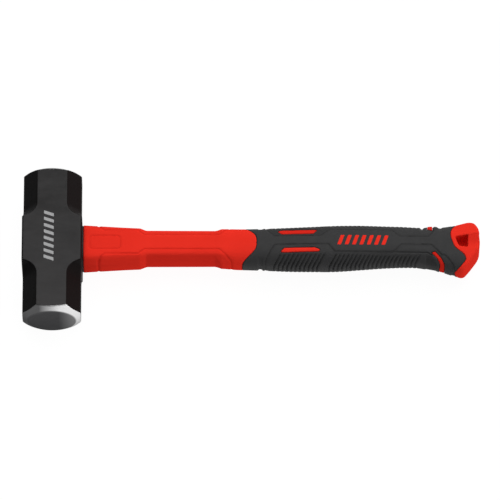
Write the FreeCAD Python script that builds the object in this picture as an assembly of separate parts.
import FreeCAD, Part
import math
import os
from FreeCAD import Vector

# Club hammer: a forged head with two octagonal striking ends, bonded with resin to a fibreglass
# core that carries a moulded jacket and a soft grip. All sizes are in millimetres.
#
# +X runs along the handle to the butt, Y runs along the head, and +Z is the normal of a cheek.
# The shapes are drawn about the head's mid-plane, with X = 0 at the middle of the eye. The hammer
# lies on its lower cheek, so everything is then lifted by half a cheek width.

# Head
CHEEK_WIDTH = 49.7  # square block round the eye
HEAD_LENGTH = 131.4  # over the crowns of both striking faces
END_WIDTH = 48.2  # octagonal ends, across the two side flats
CHEEK_FLAT = 24.6  # octagonal ends, width of a cheek flat
SIDE_FLAT = 18.0  # octagonal ends, width of a side flat
BLOCK_CORNER_RADIUS = 2.0
SIDE_STEP = (21.5, 25.0)  # where the side flats step down from the block
RUNOUT_START = 31.8  # where a corner facet starts to curve out to the block
RUNOUT_RADIUS = 12.0
RUNOUT_ANGLE = 60.0  # how steeply the facet ends, from the head's length
FACE_RADIUS = 19.5  # crowned part of a striking face
FACE_CROWN = 0.7
BEVEL_DEPTH = 3.3  # ground bevel, where it meets the cheek flat
CORNER_REACH = 28.5  # just past the corners of the octagon
CORNER_BEVEL_DEPTH = 4.8

# Eye, and what fills it
EYE_MOUTH = (15.5, 11.5)  # half height and half width at each mouth
EYE_WAIST = (14.5, 10.5)  # half height and half width at mid-depth
CORE_SECTION = (9.5, 8.0)  # half height and half width of the fibreglass rod
CORE_REAR = 322.0
RESIN_RECESS = 0.6  # the resin and the rod end this far below the head's outer side
SEAL_DEPTH = 4.0  # how far the seal plugs the eye
SEAL_FLANGE = 1.0  # the part of the seal between the head and the collar
SEAL_INSET = 0.5  # the flange is this much smaller than the collar

# Handle sections: x, half height up, half height down, half width, squareness
HEAD_SIDE = CHEEK_WIDTH / 2
COLLAR_FRONT = (HEAD_SIDE + SEAL_FLANGE, 18.8, 18.8, 15.0, 3.2)
COLLAR_REAR = (72.7, 16.2, 16.2, 14.8, 3.0)
NECK_FRONT = (77.7, 14.0, 14.0, 14.7, 2.7)
NECK_REAR = (134.8, 13.7, 13.7, 14.7, 2.7)
GRIP = [
    (139.8, 15.6, 16.2, 15.0, 2.7),
    (157.0, 15.5, 17.0, 15.0, 2.6),
    (172.0, 15.8, 17.4, 15.3, 2.6),
    (195.0, 16.7, 18.5, 16.4, 2.5),
    (215.0, 17.6, 18.6, 16.8, 2.5),
    (235.0, 18.6, 18.5, 16.8, 2.5),
    (255.0, 18.8, 17.0, 16.5, 2.5),
    (275.0, 18.3, 15.5, 15.8, 2.5),
    (290.0, 17.9, 15.0, 15.3, 2.5),
    (303.0, 17.2, 15.5, 14.9, 2.5),
    (313.0, 17.2, 17.6, 14.5, 2.5),
    (322.0, 17.4, 19.6, 14.2, 2.6),
    (332.0, 19.0, 23.2, 13.9, 2.8),
    (343.0, 22.9, 28.0, 13.6, 3.0),
    (358.0, 28.0, 34.0, 13.4, 3.2),
]
SECTION_POINTS = 36
GRIP_THICKNESS = 3.0
WIDE = 60.0  # past the handle on every side

# Shallow details
PANEL = (31.4, 57.2, 6.2)  # recessed panel on each side of the collar: x from, x to, half height
PANEL_RADIUS = 2.5
PANEL_DEPTH = 0.5
RING_GROOVE = (171.2, 173.8)
RING_GROOVE_DEPTH = 0.8
TOP_NOTCHES = [(304.0, 308.0), (317.4, 321.4)]  # finger notches on the upper edge
TOP_NOTCH_LEVEL = 16.6

# Outlines seen along Z, as (x, y). GRIP_FRONT is the upper half, and is mirrored for the lower.
GRIP_FRONT = [(156.4, 17.4), (158.4, 15.0), (161.6, 12.5), (165.2, 9.4), (167.9, 6.2), (168.9, 3.0)]
GRIP_REAR = [
    (334.5, 19.5),
    (330.2, 12.5),
    (329.2, 7.0),
    (330.9, 0.6),
    (333.4, -4.4),
    (339.0, -9.0),
    (341.6, -12.8),
    (340.8, -16.4),
    (334.2, -23.0),
    (329.0, -27.0),
]
UPPER_WINDOW = [(189.8, 6.9), (215.9, 7.4), (219.2, 11.0), (217.6, 11.5), (188.8, 11.2), (186.2, 9.8)]
LOWER_WINDOW = [(191.5, -5.5), (217.2, -5.1), (221.6, -7.2), (220.2, -9.0), (190.4, -9.6), (188.6, -8.9)]
PALM_WINDOW = [(313.2, -8.2), (316.4, -7.0), (321.6, -12.4), (324.4, -17.0), (324.6, -WIDE),
               (318.4, -WIDE), (319.6, -17.0), (317.4, -12.6)]
BACK_WINDOW = [(310.2, 12.4), (313.6, 12.4), (315.6, WIDE), (311.6, WIDE)]
BUTT = [(326.0, -21.2), (339.2, -25.6), (353.6, -2.5), (353.9, 4.0), (351.6, 17.4), (347.4, 21.6),
        (326.0, 18.1)]
BUTT_CORNER_RADIUS = 4.0
BUTT_EDGE_RADIUS = 3.0
HANG_HOLE = [(333.9, 5.6), (344.4, 7.7), (344.1, -3.6), (337.2, -2.9), (334.9, 1.3)]
HANG_HOLE_RADIUS = 1.0

PARTS = "parts"
ALONG_Y = Vector(0, 1, 0)


def prism(points, radius=0.0):
    """Solid with the given x, y outline and rounded corners, right through the part along Z."""
    shape = Part.Face(Part.makePolygon([Vector(x, y, -WIDE) for x, y in points + points[:1]]))
    solid = shape.extrude(Vector(0, 0, 2 * WIDE))
    if radius:
        upright = [e for e in solid.Edges if abs(e.Vertexes[0].Z - e.Vertexes[1].Z) > WIDE]
        solid = solid.makeFillet(radius, upright)
    return solid


def section(x, up, down, half, power, inset=0.0):
    """Closed smooth wire across the handle at x."""
    points = []
    for i in range(SECTION_POINTS):
        angle = 2 * math.pi * i / SECTION_POINTS
        c, s = math.cos(angle), math.sin(angle)
        height = (up if c > 0 else down) - inset
        y = math.copysign(abs(c) ** (2 / power), c) * height
        z = math.copysign(abs(s) ** (2 / power), s) * (half - inset)
        points.append(Vector(x, y, z))
    curve = Part.BSplineCurve()
    curve.interpolate(Points=points, PeriodicFlag=True)
    return Part.Wire(curve.toShape())


def loft(stations, inset=0.0, straight=False):
    return Part.makeLoft([section(*s, inset=inset) for s in stations], True, straight)


def oval(x, half_height, half_width):
    """Ellipse across the handle at x."""
    big, small = max(half_height, half_width), min(half_height, half_width)
    axis = ALONG_Y if half_height >= half_width else Vector(0, 0, 1)
    ellipse = Part.Ellipse(
        Vector(x, 0, 0) + axis * big, Vector(x, 0, 0) + Vector(1, 0, 0).cross(axis) * small, Vector(x, 0, 0)
    )
    return Part.Wire(ellipse.toShape())


def corner_cutter(side_x, side_z, end):
    """What is cut away from one corner of the block to leave a corner facet and its run-out."""
    edge_x, edge_z = (END_WIDTH - CHEEK_FLAT) / 2, (CHEEK_WIDTH - SIDE_FLAT) / 2
    normal = Vector(edge_z, 0, edge_x).normalize()
    along = Vector(-normal.z, 0, normal.x)
    facet = normal.dot(Vector(CHEEK_FLAT / 2, 0, CHEEK_WIDTH / 2))
    steep = math.radians(RUNOUT_ANGLE)

    def arc_point(turn):
        out = facet + RUNOUT_RADIUS * (1 - math.cos(turn))
        return normal * out + ALONG_Y * (RUNOUT_START - RUNOUT_RADIUS * math.sin(turn))

    clear = HEAD_LENGTH
    start, middle, finish = arc_point(0), arc_point(steep / 2), arc_point(steep)
    reach = 15.0
    past = finish + normal * reach - ALONG_Y * (reach / math.tan(steep))
    far = Vector(past.x, clear, past.z)
    near = Vector(start.x, clear, start.z)
    edges = [
        Part.LineSegment(near, start).toShape(),
        Part.Arc(start, middle, finish).toShape(),
        Part.LineSegment(finish, past).toShape(),
        Part.LineSegment(past, far).toShape(),
        Part.LineSegment(far, near).toShape(),
    ]
    face = Part.Face(Part.Wire(edges))
    face.translate(along * -CHEEK_WIDTH)
    cutter = face.extrude(along * (2 * CHEEK_WIDTH))
    for flip, plane in ((side_x, Vector(1, 0, 0)), (side_z, Vector(0, 0, 1)), (end, ALONG_Y)):
        if flip < 0:
            cutter = cutter.mirror(Vector(0, 0, 0), plane)
    return cutter


def turned_blank():
    """Solid of revolution that gives both ends their crown and bevel."""
    tip = HEAD_LENGTH / 2
    rim = tip - FACE_CROWN

    def outline(sign):
        crown_mid = Vector(FACE_RADIUS / 2, sign * (tip - FACE_CROWN / 4), 0)
        points = [
            Vector(FACE_RADIUS, sign * rim, 0),
            Vector(CHEEK_WIDTH / 2, sign * (rim - BEVEL_DEPTH), 0),
            Vector(CORNER_REACH, sign * (rim - CORNER_BEVEL_DEPTH), 0),
        ]
        crown = Part.Arc(Vector(0, sign * tip, 0), crown_mid, points[0]).toShape()
        return [crown] + [Part.LineSegment(a, b).toShape() for a, b in zip(points, points[1:])]

    wide = CHEEK_WIDTH
    shoulder = rim - CORNER_BEVEL_DEPTH
    corners = [Vector(CORNER_REACH, shoulder, 0), Vector(wide, shoulder, 0), Vector(wide, -shoulder, 0),
               Vector(CORNER_REACH, -shoulder, 0)]
    sides = [Part.LineSegment(a, b).toShape() for a, b in zip(corners, corners[1:])]
    axis = Part.LineSegment(Vector(0, -tip, 0), Vector(0, tip, 0)).toShape()
    edges = Part.sortEdges(outline(1) + sides + outline(-1) + [axis])[0]
    return Part.Face(Part.Wire(edges)).revolve(Vector(0, 0, 0), ALONG_Y, 360)


def eye_solid(x_from, x_to):
    """The space of the waisted eye between two stations."""
    side = HEAD_SIDE + 1.0
    wires = [oval(x, *size) for x, size in ((-side, EYE_MOUTH), (0, EYE_WAIST), (side, EYE_MOUTH))]
    whole = Part.makeLoft(wires, True, False)
    return whole.common(Part.makeBox(x_to - x_from, WIDE, WIDE, Vector(x_from, -WIDE / 2, -WIDE / 2)))


def head():
    half = CHEEK_WIDTH / 2
    block = Part.makeBox(CHEEK_WIDTH, HEAD_LENGTH, CHEEK_WIDTH, Vector(-half, -HEAD_LENGTH / 2, -half))
    corners = [e for e in block.Edges if e.Length > HEAD_LENGTH - 1]
    block = block.makeFillet(BLOCK_CORNER_RADIUS, corners)
    block = block.common(turned_blank())
    top, low = SIDE_STEP[1], SIDE_STEP[0]
    for end in (-1, 1):
        for side in (-1, 1):
            inner, outer = side * END_WIDTH / 2, side * (half + 1)
            step = [(outer, end * low), (inner, end * top), (inner, end * HEAD_LENGTH),
                    (outer, end * HEAD_LENGTH)]
            block = block.cut(prism(step))
            for face in (-1, 1):
                block = block.cut(corner_cutter(side, face, end))
    return block.cut(eye_solid(-WIDE / 2, WIDE / 2))


def core():
    front = -HEAD_SIDE + RESIN_RECESS
    return Part.Face(oval(front, *CORE_SECTION)).extrude(Vector(CORE_REAR - front, 0, 0))


def seal():
    x, up, down, half, power = COLLAR_FRONT
    flange = [(at, up - SEAL_INSET, down - SEAL_INSET, half - SEAL_INSET, power) for at in (HEAD_SIDE, x)]
    plug = eye_solid(HEAD_SIDE - SEAL_DEPTH, HEAD_SIDE)
    return plug.fuse(loft(flange, straight=True)).removeSplitter()


def handle_envelope():
    """The whole outside of the handle, jacket and grip together."""
    body = loft([COLLAR_FRONT, COLLAR_REAR], straight=True)
    for pair in ((COLLAR_REAR, NECK_FRONT), (NECK_FRONT, NECK_REAR), (NECK_REAR, GRIP[0])):
        body = body.fuse(loft(list(pair), straight=True))
    start = BUTT[0][0]
    grip = loft(GRIP)
    front = grip.common(Part.makeBox(start, 2 * WIDE, 2 * WIDE, Vector(0, -WIDE, -WIDE)))
    butt = grip.common(prism(BUTT, BUTT_CORNER_RADIUS))
    rim = [e for e in butt.Edges if e.BoundBox.XMin > start + 1 and abs(e.CenterOfMass.z) > 6]
    butt = butt.makeFillet(BUTT_EDGE_RADIUS, rim)
    return body.multiFuse([front, butt])


def ring(x_from, x_to, depth):
    """The outermost layer of the grip between two stations."""
    outer = loft(GRIP)
    inner = loft(GRIP, inset=depth)
    slab = Part.makeBox(x_to - x_from, 2 * WIDE, 2 * WIDE, Vector(x_from, -WIDE, -WIDE))
    return outer.common(slab).cut(inner)


def grip_zone():
    """Block that holds everything moulded in the soft grip material."""
    front = [(GRIP_FRONT[0][0], WIDE)] + GRIP_FRONT + [(x, -y) for x, y in reversed(GRIP_FRONT)]
    front.append((GRIP_FRONT[0][0], -WIDE))
    rear = Part.BSplineCurve()
    rear.interpolate([Vector(x, y, -WIDE) for x, y in GRIP_REAR])
    top, bottom = GRIP_REAR[0], GRIP_REAR[-1]
    path = [(bottom[0], -WIDE)] + front[::-1] + [(top[0], WIDE), top]
    sides = [Part.LineSegment(Vector(*a, -WIDE), Vector(*b, -WIDE)).toShape()
             for a, b in zip([bottom] + path, path)]
    face = Part.Face(Part.Wire(Part.sortEdges(sides + [rear.toShape()])[0]))
    return face.extrude(Vector(0, 0, 2 * WIDE))


def windows():
    """Openings in the grip that show the jacket."""
    shapes = [prism(outline) for outline in (UPPER_WINDOW, LOWER_WINDOW, PALM_WINDOW, BACK_WINDOW)]
    return shapes[0].multiFuse(shapes[1:])


def panel_recess():
    """Shallow label panels on both sides of the collar."""
    x_from, x_to, half_height = PANEL
    outline = [(x_from, -half_height), (x_to, -half_height), (x_to, half_height), (x_from, half_height)]
    floor = COLLAR_FRONT[3] - PANEL_DEPTH
    middle = Part.makeBox(WIDE * 2, WIDE, 2 * floor, Vector(0, -WIDE / 2, -floor))
    return prism(outline, PANEL_RADIUS).cut(middle)


def notches():
    shapes = []
    for x_from, x_to in TOP_NOTCHES:
        middle = (x_from + x_to) / 2
        shapes.append(prism([(x_from, WIDE), (x_from, TOP_NOTCH_LEVEL + 1), (middle, TOP_NOTCH_LEVEL),
                             (x_to, TOP_NOTCH_LEVEL + 1), (x_to, WIDE)]))
    return shapes[0].fuse(shapes[1])


def handle_pieces():
    """The jacket and the grip, which share the face between them."""
    envelope = handle_envelope()
    hole = prism(HANG_HOLE, HANG_HOLE_RADIUS)
    lining = loft(GRIP, inset=GRIP_THICKNESS)
    shell = envelope.common(grip_zone()).cut(lining).cut(windows())
    grip = shell.cut(notches()).cut(hole).cut(ring(*RING_GROOVE, RING_GROOVE_DEPTH))
    jacket = envelope.cut(shell).cut(core()).cut(hole).cut(panel_recess())
    return jacket, grip


def write(name, shape):
    shape = shape.copy()
    shape.translate(Vector(0, 0, CHEEK_WIDTH / 2))
    solids = shape.Solids
    shape = solids[0] if len(solids) == 1 else Part.makeCompound(solids)
    shape.exportStep(os.path.join(PARTS, name + ".step"))
    box = shape.BoundBox
    print(name, "solids", len(solids), "valid", shape.isValid(), "volume", round(shape.Volume),
          "box", [round(v, 1) for v in (box.XMin, box.XMax, box.YMin, box.YMax, box.ZMin, box.ZMax)])


os.makedirs(PARTS, exist_ok=True)
rod = core()
jacket_shape, grip_shape = handle_pieces()
resin = eye_solid(-HEAD_SIDE + RESIN_RECESS, HEAD_SIDE - SEAL_DEPTH).cut(rod)
write("hammer_head", head())
write("fibreglass_core", rod)
write("eye_resin", resin)
write("eye_seal", seal().cut(rod))
write("handle_jacket", jacket_shape)
write("grip_overmould", grip_shape)
